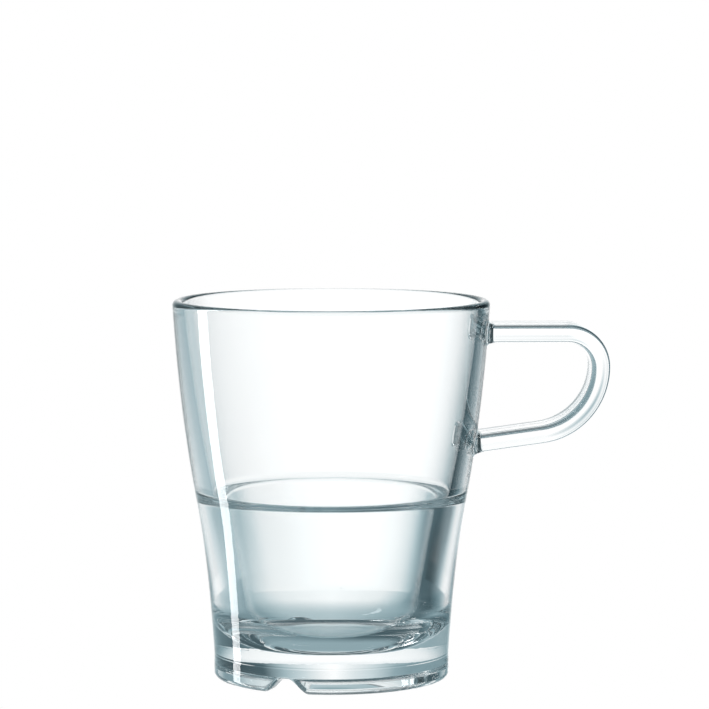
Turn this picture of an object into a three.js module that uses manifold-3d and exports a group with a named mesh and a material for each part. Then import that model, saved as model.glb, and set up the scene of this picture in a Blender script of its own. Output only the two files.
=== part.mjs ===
// A stacking glass cup: a pressed body with a stepped bowl, and a strap handle fused on at two seats.
// Millimetres, +Z up. The origin is on the cup's axis, on the plane that it stands on.
// The handle points along +X.
import * as THREE from 'three';
import { mergeVertices } from 'three/addons/utils/BufferGeometryUtils.js';
import Module from 'manifold-3d';

// Outer wall: an S-curve through three heights, each with its own radius and draft (mm out per mm up).
const CUP_HEIGHT = 95.75;
const RIM_RADIUS = 40;
const RIM_DRAFT = 0.06;
const WAIST_HEIGHT = 44;
const WAIST_RADIUS = 33.87;
const WAIST_DRAFT = 0.19;
const FOOT_RADIUS = 29.7;
const FOOT_BAND = 6.5;
const FOOT_DRAFT = 0.07;

// Upper bowl: a thin wall that ends in a full round lip at the rim and thickens towards the ledge.
const RIM_WALL = 2.7;
const LEDGE_WALL = 4.4;

// Ledge: the flat step on which the foot of the next cup stands.
const LEDGE_HEIGHT = 46.4;
const LEDGE_FILLET = 2.2;
const LEDGE_LIP = 1.1;

// Well: the narrow lower part of the bowl. Its wall turns in one round into a flat floor.
const WELL_MOUTH_RADIUS = 26.5;
const WELL_BASE_RADIUS = 20.4;
const WELL_KNEE_ROUND = 13;
const WELL_FLOOR_HEIGHT = 8.4;

// Foot: a bearing ring around a shallow recess, cut by notches that let rinsing water drain.
// There are three notches. The first is turned by NOTCH_TURN degrees from -Y towards -X, and the
// others lie NOTCH_SPREAD degrees to both sides of it.
const FOOT_EDGE = 1.7;
const FOOT_INNER_EDGE = 0.7;
const RECESS_RADIUS = 25;
const RECESS_DEPTH = 3.4;
const RECESS_CROWN = 0.4;
const RECESS_ROUND = 1.5;
const NOTCH_WIDTH = 12;
const NOTCH_FLAT = 1.6;
const NOTCH_HEIGHT = 3.6;
const NOTCH_TURN = 25;
const NOTCH_SPREAD = 132;

// Handle: a flat strap, straight at the top, with a tight shoulder and a wide elbow that runs into
// a sloping lower bar. The drop from the rim and the reach are those of the strap's middle line.
const STRAP_THICKNESS = 4.6;
const STRAP_DEPTH = 15;
const STRAP_CORNER = 1.7;
const HANDLE_DROP = 8.35;
const HANDLE_REACH = 67.6;
const SHOULDER_RADIUS = 8.4;
const ELBOW_RADIUS = 17.2;
const LOWER_BAR_SLOPE = 7.8;

// Seats: the flared collars where the strap's ends are fused to the wall.
const SEAT_LENGTH = 1.5;
const SEAT_FLARE = 1;

// Parts that meet keep this gap.
const FIT_GAP = 0.3;

// Fineness of the round stretches.
const TURN_STEPS = 64;
const WALL_STEPS = 7;
const ARC_STEPS = 4;
const LIP_STEPS = 8;
const KNEE_STEPS = 9;
const NOTCH_STEPS = 6;
const STRAP_STEPS = 44;
const CORNER_STEPS = 3;
const SEAT_STEPS = 4;
const SEAT_CAP_STEPS = 3;
const SEAT_SIDE_STEPS = 5;

const wasm = await Module();
wasm.setup();

const glass = new THREE.MeshStandardMaterial({
  name: 'clear_glass',
  color: 0xdfeaec,
  roughness: 0.03,
  metalness: 0,
  transparent: true,
  opacity: 0.35,
});

// Cubic through two wall stations, each given as height, radius and draft.
function blendStations(z, low, high) {
  const rise = high.z - low.z;
  const t = (z - low.z) / rise;
  const fromLow = (2 * t ** 3 - 3 * t ** 2 + 1) * low.r + (t ** 3 - 2 * t ** 2 + t) * rise * low.draft;
  const fromHigh = (3 * t ** 2 - 2 * t ** 3) * high.r + (t ** 3 - t ** 2) * rise * high.draft;
  return fromLow + fromHigh;
}

const LIP_BASE = CUP_HEIGHT - RIM_WALL / 2;
const footStation = { z: FOOT_BAND, r: FOOT_RADIUS, draft: FOOT_DRAFT };
const waistStation = { z: WAIST_HEIGHT, r: WAIST_RADIUS, draft: WAIST_DRAFT };
const rimStation = { z: LIP_BASE, r: RIM_RADIUS, draft: RIM_DRAFT };

function outerRadius(z) {
  if (z <= FOOT_BAND) return FOOT_RADIUS;
  if (z <= WAIST_HEIGHT) return blendStations(z, footStation, waistStation);
  return blendStations(z, waistStation, rimStation);
}

function bowlRadius(z) {
  const down = (LIP_BASE - z) / (LIP_BASE - LEDGE_HEIGHT);
  return outerRadius(z) - THREE.MathUtils.lerp(RIM_WALL, LEDGE_WALL, down);
}

// Points of a radius function between two heights, both ends included.
function wallPoints(radiusAt, from, to, steps) {
  const points = [];
  for (let i = 0; i <= steps; i += 1) {
    const z = THREE.MathUtils.lerp(from, to, i / steps);
    points.push(new THREE.Vector2(radiusAt(z), z));
  }
  return points;
}

// Arc that rounds the corner between the lines to its two neighbours.
function roundCorner(before, corner, after, radius, steps) {
  const back = before.clone().sub(corner).normalize();
  const on = after.clone().sub(corner).normalize();
  const half = Math.acos(THREE.MathUtils.clamp(back.dot(on), -1, 1)) / 2;
  const reach = radius / Math.tan(half);
  const centre = back.clone().add(on).normalize().multiplyScalar(radius / Math.sin(half)).add(corner);
  const start = back.clone().multiplyScalar(reach).add(corner).sub(centre);
  const end = on.clone().multiplyScalar(reach).add(corner).sub(centre);
  const sweep = Math.atan2(start.cross(end), start.dot(end));
  const points = [];
  for (let i = 0; i <= steps; i += 1) {
    points.push(start.clone().rotateAround(new THREE.Vector2(), (sweep * i) / steps).add(centre));
  }
  return points;
}

// Outline of the body from the middle of the underside, out and up the wall, over the rim, and down inside.
function bodyOutline() {
  const recessTop = new THREE.Vector2(0, RECESS_DEPTH + RECESS_CROWN);
  const recessCorner = new THREE.Vector2(RECESS_RADIUS - FOOT_INNER_EDGE, RECESS_DEPTH);
  const footInside = new THREE.Vector2(RECESS_RADIUS, 0);
  const footOutside = new THREE.Vector2(FOOT_RADIUS, 0);
  const bandTop = new THREE.Vector2(FOOT_RADIUS, FOOT_BAND);
  const lipCentre = RIM_RADIUS - RIM_WALL / 2;
  const filletTop = LEDGE_HEIGHT + LEDGE_FILLET;
  const aboveFillet = new THREE.Vector2(bowlRadius(filletTop), filletTop);
  const ledgeCorner = new THREE.Vector2(bowlRadius(LEDGE_HEIGHT), LEDGE_HEIGHT);
  const wellMouth = new THREE.Vector2(WELL_MOUTH_RADIUS, LEDGE_HEIGHT);
  const wellKnee = new THREE.Vector2(WELL_BASE_RADIUS, WELL_FLOOR_HEIGHT);
  const wellFloor = new THREE.Vector2(0, WELL_FLOOR_HEIGHT);

  const lip = [];
  for (let i = 1; i < LIP_STEPS; i += 1) {
    const turn = (Math.PI * i) / LIP_STEPS;
    lip.push(new THREE.Vector2(
      lipCentre + (RIM_WALL / 2) * Math.cos(turn),
      LIP_BASE + (RIM_WALL / 2) * Math.sin(turn),
    ));
  }
  const fillet = roundCorner(aboveFillet, ledgeCorner, wellMouth, LEDGE_FILLET, ARC_STEPS);
  return [
    recessTop,
    ...roundCorner(recessTop, recessCorner, footInside, RECESS_ROUND, ARC_STEPS),
    ...roundCorner(recessCorner, footInside, footOutside, FOOT_INNER_EDGE, ARC_STEPS),
    ...roundCorner(footInside, footOutside, bandTop, FOOT_EDGE, ARC_STEPS),
    ...wallPoints(outerRadius, FOOT_BAND, WAIST_HEIGHT, WALL_STEPS),
    ...wallPoints(outerRadius, WAIST_HEIGHT, LIP_BASE, WALL_STEPS).slice(1),
    ...lip,
    ...wallPoints(bowlRadius, LIP_BASE, fillet[0].y, WALL_STEPS).slice(0, -1),
    ...fillet,
    ...roundCorner(ledgeCorner, wellMouth, wellKnee, LEDGE_LIP, ARC_STEPS),
    ...roundCorner(wellMouth, wellKnee, wellFloor, WELL_KNEE_ROUND, KNEE_STEPS),
    wellFloor,
  ];
}

// Vertices shared and collapsed triangles dropped, as a solid that can be cut.
function toSolid(geometry) {
  const bare = geometry.clone();
  bare.deleteAttribute('normal');
  bare.deleteAttribute('uv');
  const merged = mergeVertices(bare);
  const kept = [];
  const index = merged.index.array;
  for (let i = 0; i < index.length; i += 3) {
    const [a, b, c] = [index[i], index[i + 1], index[i + 2]];
    if (a !== b && b !== c && c !== a) kept.push(a, b, c);
  }
  return new wasm.Manifold(new wasm.Mesh({
    numProp: 3,
    vertProperties: new Float32Array(merged.attributes.position.array),
    triVerts: new Uint32Array(kept),
  }));
}

function toGeometry(solid) {
  const mesh = solid.getMesh();
  const geometry = new THREE.BufferGeometry();
  geometry.setAttribute('position', new THREE.BufferAttribute(mesh.vertProperties, 3));
  geometry.setIndex(new THREE.BufferAttribute(mesh.triVerts, 1));
  geometry.computeVertexNormals();
  return geometry;
}

// One drain notch: a bell-shaped cut that runs out through the bearing ring, at a turn from -Y towards -X.
function notchCutter(turn) {
  const half = NOTCH_WIDTH / 2;
  const flat = NOTCH_FLAT / 2;
  const middle = (half + flat) / 2;
  const bell = new THREE.Shape();
  bell.moveTo(-half, -FOOT_EDGE);
  bell.lineTo(half, -FOOT_EDGE);
  bell.lineTo(half, 0);
  bell.bezierCurveTo(middle, 0, middle, NOTCH_HEIGHT, flat, NOTCH_HEIGHT);
  bell.lineTo(-flat, NOTCH_HEIGHT);
  bell.bezierCurveTo(-middle, NOTCH_HEIGHT, -middle, 0, -half, 0);
  const inner = RECESS_RADIUS - RECESS_ROUND;
  const length = FOOT_RADIUS + FOOT_EDGE - inner;
  const cutter = new THREE.ExtrudeGeometry(bell, {
    depth: length,
    bevelEnabled: false,
    curveSegments: NOTCH_STEPS,
  });
  cutter.rotateX(Math.PI / 2);
  cutter.translate(0, -inner, 0);
  cutter.rotateZ(-turn);
  return toSolid(cutter);
}

function makeBody() {
  const turned = new THREE.LatheGeometry(bodyOutline(), TURN_STEPS);
  turned.rotateX(Math.PI / 2);
  let solid = toSolid(turned);
  for (const side of [0, -1, 1]) {
    const turn = THREE.MathUtils.degToRad(NOTCH_TURN + side * NOTCH_SPREAD);
    solid = solid.subtract(notchCutter(turn));
  }
  return toGeometry(solid);
}

// Section of the strap: x across its thickness, y across its depth, grown all round by a margin.
function strapSection(margin) {
  const x = STRAP_THICKNESS / 2 + margin;
  const y = STRAP_DEPTH / 2 + margin;
  const round = STRAP_CORNER + margin;
  const section = new THREE.Shape();
  section.absarc(x - round, y - round, round, 0, Math.PI / 2);
  section.absarc(round - x, y - round, round, Math.PI / 2, Math.PI);
  section.absarc(round - x, round - y, round, Math.PI, 1.5 * Math.PI);
  section.absarc(x - round, round - y, round, 1.5 * Math.PI, 2 * Math.PI);
  return section;
}

// How far a bar's line runs, from a start point along a direction, before it is FIT_GAP from the wall.
const SEARCH_ROUNDS = 12;
function runToWall(start, direction) {
  let run = 0;
  for (let i = 0; i < SEARCH_ROUNDS; i += 1) {
    const z = start.z + run * direction.z;
    const radius = outerRadius(z) + FIT_GAP;
    const wallX = Math.sqrt(radius ** 2 - start.y ** 2);
    run = (wallX - start.x) / direction.x;
  }
  return run;
}

const HANDLE_TOP_HEIGHT = CUP_HEIGHT - HANDLE_DROP;

// Middle line of the handle: shoulder and elbow arcs share the upright tangent at the handle's reach.
const slope = THREE.MathUtils.degToRad(LOWER_BAR_SLOPE);
const turnHeight = HANDLE_TOP_HEIGHT - SHOULDER_RADIUS;
const shoulderCentre = new THREE.Vector3(HANDLE_REACH - SHOULDER_RADIUS, 0, turnHeight);
const elbowCentre = new THREE.Vector3(HANDLE_REACH - ELBOW_RADIUS, 0, turnHeight);
const elbowSweep = Math.PI / 2 - slope;
const shoulderStart = new THREE.Vector3(shoulderCentre.x, 0, HANDLE_TOP_HEIGHT);
const elbowEnd = new THREE.Vector3(
  elbowCentre.x + ELBOW_RADIUS * Math.cos(elbowSweep),
  0,
  elbowCentre.z - ELBOW_RADIUS * Math.sin(elbowSweep),
);
const upperBar = { start: shoulderStart, direction: new THREE.Vector3(-1, 0, 0) };
const lowerBar = { start: elbowEnd, direction: new THREE.Vector3(-Math.cos(slope), 0, -Math.sin(slope)) };

// Length of a bar from its bend to its seat.
function barLength(bar) {
  return runToWall(bar.start, bar.direction) - SEAT_LENGTH - FIT_GAP;
}

class HandleLine extends THREE.Curve {
  constructor() {
    super();
    this.upperLength = barLength(upperBar);
    this.shoulderLength = (SHOULDER_RADIUS * Math.PI) / 2;
    this.elbowLength = ELBOW_RADIUS * elbowSweep;
    this.lowerLength = barLength(lowerBar);
    this.whole = this.upperLength + this.shoulderLength + this.elbowLength + this.lowerLength;
  }

  getPoint(t, target = new THREE.Vector3()) {
    let run = t * this.whole - this.upperLength;
    if (run <= 0) return target.copy(upperBar.direction).multiplyScalar(-run).add(upperBar.start);
    if (run <= this.shoulderLength) {
      const turn = Math.PI / 2 - run / SHOULDER_RADIUS;
      return target.set(Math.cos(turn), 0, Math.sin(turn)).multiplyScalar(SHOULDER_RADIUS).add(shoulderCentre);
    }
    run -= this.shoulderLength;
    if (run <= this.elbowLength) {
      const turn = -run / ELBOW_RADIUS;
      return target.set(Math.cos(turn), 0, Math.sin(turn)).multiplyScalar(ELBOW_RADIUS).add(elbowCentre);
    }
    run -= this.elbowLength;
    return target.copy(lowerBar.direction).multiplyScalar(run).add(lowerBar.start);
  }
}

function makeHandle() {
  return new THREE.ExtrudeGeometry(strapSection(0), {
    extrudePath: new HandleLine(),
    steps: STRAP_STEPS,
    curveSegments: CORNER_STEPS,
  });
}

// Closed skin over a row of rings with equal counts, with a middle point closing each end.
function loftRings(rings, firstMiddle, lastMiddle) {
  const count = rings[0].length;
  const points = [...rings.flat(), firstMiddle, lastMiddle];
  const first = points.length - 2;
  const last = points.length - 1;
  const tail = (rings.length - 1) * count;
  const faces = [];
  for (let i = 0; i < count; i += 1) {
    const next = (i + 1) % count;
    faces.push(first, next, i);
    faces.push(last, tail + i, tail + next);
    for (let k = 0; k + 1 < rings.length; k += 1) {
      const here = k * count;
      const there = here + count;
      faces.push(here + i, here + next, there + next);
      faces.push(here + i, there + next, there + i);
    }
  }
  const geometry = new THREE.BufferGeometry();
  geometry.setFromPoints(points);
  geometry.setIndex(faces);
  geometry.computeVertexNormals();
  return geometry;
}

// Spots around a seat's section, with its long sides divided so that they can follow the round wall.
function seatSpots(margin) {
  const corners = strapSection(margin).getPoints(CORNER_STEPS).slice(0, -1);
  const longest = STRAP_DEPTH / SEAT_SIDE_STEPS;
  return corners.flatMap((corner, i) => {
    const next = corners[(i + 1) % corners.length];
    const parts = Math.ceil(corner.distanceTo(next) / longest);
    return Array.from({ length: parts }, (_, k) => corner.clone().lerp(next, k / parts));
  });
}

// A fused seat: it leaves the strap's end with the strap's section, flares out in a hollow curve and
// follows the round wall of the body.
function makeSeat(bar) {
  const across = new THREE.Vector3(0, 1, 0);
  const up = new THREE.Vector3().crossVectors(across, bar.direction);
  const faceRun = barLength(bar) + FIT_GAP;
  const place = (spot, run) => bar.start.clone()
    .addScaledVector(up, spot.x)
    .addScaledVector(across, spot.y)
    .addScaledVector(bar.direction, run);
  const onWall = (spot) => place(spot, runToWall(place(spot, 0), bar.direction));

  const rings = [];
  for (let k = 0; k <= SEAT_STEPS; k += 1) {
    const t = k / SEAT_STEPS;
    const flare = SEAT_FLARE * (1 - Math.sqrt(1 - t ** 2));
    rings.push(seatSpots(flare).map((spot) => {
      const wallRun = runToWall(place(spot, 0), bar.direction);
      return place(spot, THREE.MathUtils.lerp(faceRun, wallRun, t));
    }));
  }
  const rimSpots = seatSpots(SEAT_FLARE);
  for (let k = 1; k < SEAT_CAP_STEPS; k += 1) {
    const share = 1 - k / SEAT_CAP_STEPS;
    rings.push(rimSpots.map((spot) => onWall(spot.clone().multiplyScalar(share))));
  }
  const middle = new THREE.Vector2();
  return loftRings(rings, place(middle, faceRun), onWall(middle));
}

function addPart(group, name, geometry) {
  const mesh = new THREE.Mesh(geometry, glass.clone());
  mesh.name = name;
  group.add(mesh);
}

const cup = new THREE.Group();
cup.name = 'glass_cup';
addPart(cup, 'cup_body', makeBody());
addPart(cup, 'handle', makeHandle());
addPart(cup, 'upper_handle_seat', makeSeat(upperBar));
addPart(cup, 'lower_handle_seat', makeSeat(lowerBar));

export default cup;
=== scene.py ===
# %% [markdown]
# A stacking glass cup, step by step.
# The cup is one pressed body of thick clear glass with a strap handle fused to its side.
# Clear glass has almost no colour of its own: what is seen in it is the room, bent and mirrored.
# So the lesson has two halves, the exact shape of the glass and a studio worth seeing through it.

# %% Load the frame
import math

import bmesh
import bpy
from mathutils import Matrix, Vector


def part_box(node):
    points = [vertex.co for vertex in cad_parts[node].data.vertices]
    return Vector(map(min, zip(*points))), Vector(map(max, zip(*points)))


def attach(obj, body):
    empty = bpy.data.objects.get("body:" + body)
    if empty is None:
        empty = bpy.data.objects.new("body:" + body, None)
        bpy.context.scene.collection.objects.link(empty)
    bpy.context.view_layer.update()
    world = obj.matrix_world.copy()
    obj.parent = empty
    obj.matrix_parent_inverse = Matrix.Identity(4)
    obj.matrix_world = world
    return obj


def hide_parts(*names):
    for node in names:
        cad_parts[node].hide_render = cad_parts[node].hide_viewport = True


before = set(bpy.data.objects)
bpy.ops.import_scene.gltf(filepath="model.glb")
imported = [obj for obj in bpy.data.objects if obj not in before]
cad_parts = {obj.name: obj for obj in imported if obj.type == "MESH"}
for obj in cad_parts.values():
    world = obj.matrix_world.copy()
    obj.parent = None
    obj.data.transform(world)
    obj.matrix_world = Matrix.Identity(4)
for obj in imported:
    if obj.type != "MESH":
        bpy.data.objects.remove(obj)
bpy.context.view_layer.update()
MM = 0.001
print("pieces in the frame:", sorted(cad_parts))

# %% [markdown]
# Node trees are easier to read as sums than as lists of links.
# A Wire stands for one output of a node, and adding or multiplying wires adds Math nodes.
# A Graph adds any other node from its type, its settings and the values or wires of its sockets.
# The same two classes write materials, the studio's light and the trees that shape the glass.


# %% Wires and graphs
class Wire:
    """One output of a node, usable in sums with numbers and other wires."""

    def __init__(self, graph, node, output=0):
        self.graph = graph
        self.node = node
        self.socket = node.outputs[output]

    def output(self, name):
        """Another output of the same node."""
        return Wire(self.graph, self.node, name)

    def math(self, operation, left, right=None):
        """A Math node on one or two values."""
        sockets = {0: left} if right is None else {0: left, 1: right}
        return self.graph.add("ShaderNodeMath", {"operation": operation}, sockets)

    def __add__(self, other):
        return self.math("ADD", self, other)

    def __sub__(self, other):
        return self.math("SUBTRACT", self, other)

    def __rsub__(self, other):
        return self.math("SUBTRACT", other, self)

    def __mul__(self, other):
        return self.math("MULTIPLY", self, other)

    def __rmul__(self, other):
        return self.math("MULTIPLY", other, self)

    def __truediv__(self, other):
        return self.math("DIVIDE", self, other)


class Graph:
    """Adds nodes to one node tree."""

    def __init__(self, tree):
        self.tree = tree

    def add(self, kind, settings=None, sockets=None, output=0):
        """A new node. A socket takes a value or a wire, and the result is a wire if the node has outputs."""
        node = self.tree.nodes.new(kind)
        for name, value in (settings or {}).items():
            if name == "stops":
                self.set_stops(node.color_ramp, value)
            else:
                setattr(node, name, value)
        for name, value in (sockets or {}).items():
            if isinstance(value, Wire):
                self.tree.links.new(value.socket, node.inputs[name])
            else:
                node.inputs[name].default_value = value
        return Wire(self, node, output) if len(node.outputs) else node

    def set_stops(self, ramp, stops):
        """Gives a colour ramp the listed positions and colours."""
        while len(ramp.elements) > 1:
            ramp.elements.remove(ramp.elements[-1])
        for place, (position, colour) in enumerate(stops):
            stop = ramp.elements[0] if place == 0 else ramp.elements.new(position)
            stop.position = position
            stop.color = (*colour, 1)


print("helpers ready: Wire, Graph")

# %% [markdown]
# The camera stands a metre away and looks slightly down on the cup, through a long lens.
# A long lens keeps the sides of the cup nearly parallel, as product photographs do.
# The cup's handle points along +X and is turned a little away from the lens, so the camera and the
# studio around it are turned together by the same small angle.

# %% Camera
STAGE_TURN = math.radians(-2.0)
CAMERA_DISTANCE = 1000 * MM
CAMERA_HEIGHT = 170.86 * MM
CAMERA_ASIDE = 5.83 * MM
CAMERA_PITCH = math.radians(5.09)
CAMERA_LENS = 202.42
SENSOR_WIDTH = 36


def stage_point(across, away, up):
    """A place in the studio, given as seen by the camera: to its right, away from it, and up."""
    cos_turn = math.cos(STAGE_TURN)
    sin_turn = math.sin(STAGE_TURN)
    return Vector((across * cos_turn - away * sin_turn, across * sin_turn + away * cos_turn, up))


def add_camera():
    """The photograph's camera, level from side to side and tipped a little down."""
    lens = bpy.data.cameras.new("camera")
    lens.sensor_width = SENSOR_WIDTH
    lens.lens = CAMERA_LENS
    camera = bpy.data.objects.new("camera", lens)
    bpy.context.scene.collection.objects.link(camera)
    camera.location = stage_point(CAMERA_ASIDE, -CAMERA_DISTANCE, CAMERA_HEIGHT)
    camera.rotation_euler = (math.pi / 2 - CAMERA_PITCH, 0, STAGE_TURN)
    bpy.context.scene.camera = camera
    return camera


camera = add_camera()
print("camera at", [round(c, 3) for c in camera.location])

# %% [markdown]
# The studio is a ring of screens around the cup, written as the brightness of the world by direction.
# Straight behind the cup is a white screen, which shows through the middle of the glass.
# To its sides the screens go dark: the glass bends its edges towards them, and that draws the outline.
# There are four rings, from below the table's edge to the ceiling, because the base, the wall and the rim
# bend light by different amounts up and down. Each stop is a bearing in degrees, with 0 straight behind
# the cup and 90 to the right, and a brightness, with 1 for white.
# The stops started from a fit made outside this script, which asked what brightness in each direction
# would explain the photograph through this glass. They were then thinned, rounded and changed.

# %% Screens
LOW_SCREENS = [
    (-180, 0.48), (-150, 0.53), (-120, 0.46), (-95, 0.58), (-62, 0.56), (-45, 0.48),
    (-32, 0.58), (-22, 0.82), (-14, 1.02), (-5, 1.12), (6, 1.10), (14, 0.96), (21, 0.66),
    (28, 0.32), (36, 0.10), (44, 0.04), (53, 0.05), (61, 0.14), (69, 0.30), (80, 0.46),
    (95, 0.53), (120, 0.43), (150, 0.42), (180, 0.48),
]
MIDDLE_SCREENS = [
    (-180, 0.32), (-150, 0.36), (-120, 0.46), (-90, 0.56), (-60, 0.50), (-45, 0.42),
    (-30, 0.44), (-22, 0.62), (-16, 0.76), (-11, 0.97), (-6, 1.06), (-2, 1.20), (2, 1.26),
    (6, 1.22), (10, 1.10), (15, 0.88), (20, 0.56), (26, 0.22), (34, 0.17), (45, 0.11),
    (58, 0.15), (75, 0.28), (95, 0.37), (125, 0.34), (150, 0.29), (180, 0.32),
]
HIGH_SCREENS = [
    (-180, 0.20), (-150, 0.26), (-120, 0.30), (-90, 0.32), (-60, 0.36), (-32, 0.33),
    (-24, 0.40), (-14, 0.72), (-8, 0.84), (-1, 1.10), (3, 0.95), (9, 0.72), (16, 0.50),
    (25, 0.10), (42, 0.05), (62, 0.05), (92, 0.14), (120, 0.16), (150, 0.13), (180, 0.20),
]
TOP_SCREENS = [
    (-180, 0.12), (-140, 0.13), (-95, 0.11), (-60, 0.10), (-20, 0.10), (15, 0.08),
    (40, 0.08), (70, 0.08), (120, 0.09), (180, 0.12),
]
LOW_TO_MIDDLE = (math.radians(-19), math.radians(-9))
MIDDLE_TO_HIGH = (math.radians(-5), math.radians(10))
HIGH_TO_TOP = (math.radians(25), math.radians(44))
print("screens: 4 rings,", len(MIDDLE_SCREENS), "stops in the middle one")

# %% [markdown]
# The stops become light in three steps: each brightness gets a colour, a ramp picks the colour by bearing,
# and soft fades join the four rings by how steeply a direction rises.
# Dark glass looks blue and green, so a darker screen is given a cooler colour.
# The camera itself sees a plain white backdrop. Only light that went through the glass, or was mirrored
# by it, sees the screens.

# %% Studio light
DARK_RED = 0.52
DARK_BLUE = 1.26
WHITE = (1, 1, 1, 1)


def cool(level):
    """Colour of a screen: white when bright, blue-green when dark."""
    light = min(level, 1.0)
    red = DARK_RED + (1 - DARK_RED) * light
    blue = DARK_BLUE - (DARK_BLUE - 1) * light**0.5
    return (level * red, level, level * blue)


def ring_of_screens(across, away, levels):
    """Colours of a ring of screens, picked by the bearing of a place as the camera sees it."""
    bearing = across.math("ARCTAN2", across, away) + STAGE_TURN
    share = bearing / (2 * math.pi) + 0.5
    stops = [((angle + 180) / 360, cool(level)) for angle, level in levels]
    return across.graph.add("ShaderNodeValToRGB", {"stops": stops}, {"Fac": share})


def fade(value, limits):
    """A factor that goes softly from 0 to 1 between two limits."""
    return value.graph.add("ShaderNodeMapRange", {"interpolation_type": "SMOOTHSTEP"}, {
        "Value": value,
        "From Min": limits[0],
        "From Max": limits[1],
    })


def mix_colours(factor, first, second):
    """The first colour where the factor is 0, the second where it is 1."""
    return factor.graph.add("ShaderNodeMix", {"data_type": "RGBA"}, {0: factor, 6: first, 7: second}, 2)


def add_world():
    """The screens for what the glass sees, and plain white for what the camera sees."""
    world = bpy.data.worlds.new("studio")
    world.use_nodes = True
    world.node_tree.nodes.clear()
    graph = Graph(world.node_tree)
    direction = graph.add("ShaderNodeTexCoord", output="Generated")
    parts = graph.add("ShaderNodeSeparateXYZ", None, {"Vector": direction})
    across = parts.output("X")
    away = parts.output("Y")
    rise = parts.math("ARCSINE", parts.output("Z"))
    low = ring_of_screens(across, away, LOW_SCREENS)
    middle = ring_of_screens(across, away, MIDDLE_SCREENS)
    high = ring_of_screens(across, away, HIGH_SCREENS)
    top = ring_of_screens(across, away, TOP_SCREENS)
    room = mix_colours(fade(rise, LOW_TO_MIDDLE), low, middle)
    room = mix_colours(fade(rise, MIDDLE_TO_HIGH), room, high)
    room = mix_colours(fade(rise, HIGH_TO_TOP), room, top)
    seen_in_glass = graph.add("ShaderNodeBackground", None, {"Color": room})
    backdrop = graph.add("ShaderNodeBackground", None, {"Color": WHITE})
    path = graph.add("ShaderNodeLightPath", output="Is Camera Ray")
    both = graph.add("ShaderNodeMixShader", None, {0: path, 1: seen_in_glass, 2: backdrop})
    graph.add("ShaderNodeOutputWorld", None, {"Surface": both})
    bpy.context.scene.world = world


add_world()
print("world:", bpy.context.scene.world.name)

# %% [markdown]
# A tall softbox stands to the left of the cup.
# Its light slides off the outer wall as one narrow bright strip from the rim to the foot, and that strip
# tells the eye that the glass is smooth and round.
# An area light does this best, because its width sets the width of the strip.
# The light is split in two. The first is only mirrored by the glass, and makes the strip. The second
# reaches higher and is only seen through the glass, where it sparkles around the knee of the well.
# One light for both would also shine through the far edge of the base and eat into the cup's outline.

# %% Softbox
SOFTBOX_BEARING = math.radians(-75)
SOFTBOX_DISTANCE = 900 * MM
SOFTBOX_WIDTH = 180 * MM
STRIP_HEIGHTS = (-800 * MM, 800 * MM)
STRIP_LIGHT = 7.74
SPARKLE_HEIGHTS = (345 * MM, 1690 * MM)
SPARKLE_LIGHT = 5


def add_softbox(name, heights, brightness):
    """An upright area light that faces the cup's axis, as bright as the white backdrop times brightness."""
    low, high = heights
    light = bpy.data.lights.new(name, "AREA")
    light.shape = "RECTANGLE"
    light.size = SOFTBOX_WIDTH
    light.size_y = high - low
    light.energy = brightness * math.pi * SOFTBOX_WIDTH * (high - low)
    softbox = bpy.data.objects.new(name, light)
    bpy.context.scene.collection.objects.link(softbox)
    across = math.sin(SOFTBOX_BEARING) * SOFTBOX_DISTANCE
    away = math.cos(SOFTBOX_BEARING) * SOFTBOX_DISTANCE
    softbox.location = stage_point(across, away, (low + high) / 2)
    softbox.rotation_euler = (-stage_point(across, away, 0)).to_track_quat("-Z", "Y").to_euler()
    return softbox


strip_light = add_softbox("strip_light", STRIP_HEIGHTS, STRIP_LIGHT)
strip_light.visible_transmission = False
sparkle_light = add_softbox("sparkle_light", SPARKLE_HEIGHTS, SPARKLE_LIGHT)
sparkle_light.visible_glossy = False
print("softbox", SOFTBOX_WIDTH, "m wide")

# %% [markdown]
# A glass cup shows the table that it stands on, bent and mirrored, in its thick base.
# Two discs share the place of the table. One is plain white, and only the camera sees it.
# The other is seen only through the glass and glows with painted light and shade: it is bright behind the
# cup and falls off to the sides and under the foot, where the cup and the screens keep light away.
# Splitting them keeps the floor pale without washing out the dark lines in the glass.
# The table's stops started from the same fit as those of the screens.

# %% Floor and table
FLOOR_RADIUS = 700 * MM
FLOOR_DROP = 0.4 * MM
DISC_SIDES = 128
TABLE_RADIUS = 88 * MM
NEAR_TO_FAR = (38 * MM, 64 * MM)
# Under the foot the table glows darker: a painted shadow of the cup.
UNDER_SHADOW_RADII = (17 * MM, 25 * MM)
UNDER_SHADOW_LEVEL = 0.40
NEAR_TABLE = [
    (-180, 0.20), (-120, 0.28), (-75, 0.30), (-45, 0.38), (-25, 0.58), (0, 0.62),
    (24, 0.50), (45, 0.40), (60, 0.28), (80, 0.12), (110, 0.09), (150, 0.11), (180, 0.20),
]
FAR_TABLE = [
    (-180, 0.54), (-130, 0.38), (-85, 0.34), (-60, 0.50), (-45, 0.56), (-32, 0.72),
    (-20, 0.94), (0, 1.12), (18, 0.96), (28, 0.66), (38, 0.36), (48, 0.20), (60, 0.08),
    (76, 0.10), (100, 0.32), (140, 0.46), (180, 0.54),
]


def add_disc(name, radius, material):
    """A flat round stage object just under the foot."""
    shape = bmesh.new()
    bmesh.ops.create_circle(shape, cap_ends=True, segments=DISC_SIDES, radius=radius)
    bmesh.ops.translate(shape, verts=shape.verts, vec=(0, 0, -FLOOR_DROP))
    mesh = bpy.data.meshes.new(name)
    shape.to_mesh(mesh)
    shape.free()
    mesh.materials.append(material)
    disc = bpy.data.objects.new(name, mesh)
    bpy.context.scene.collection.objects.link(disc)
    return disc


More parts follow.
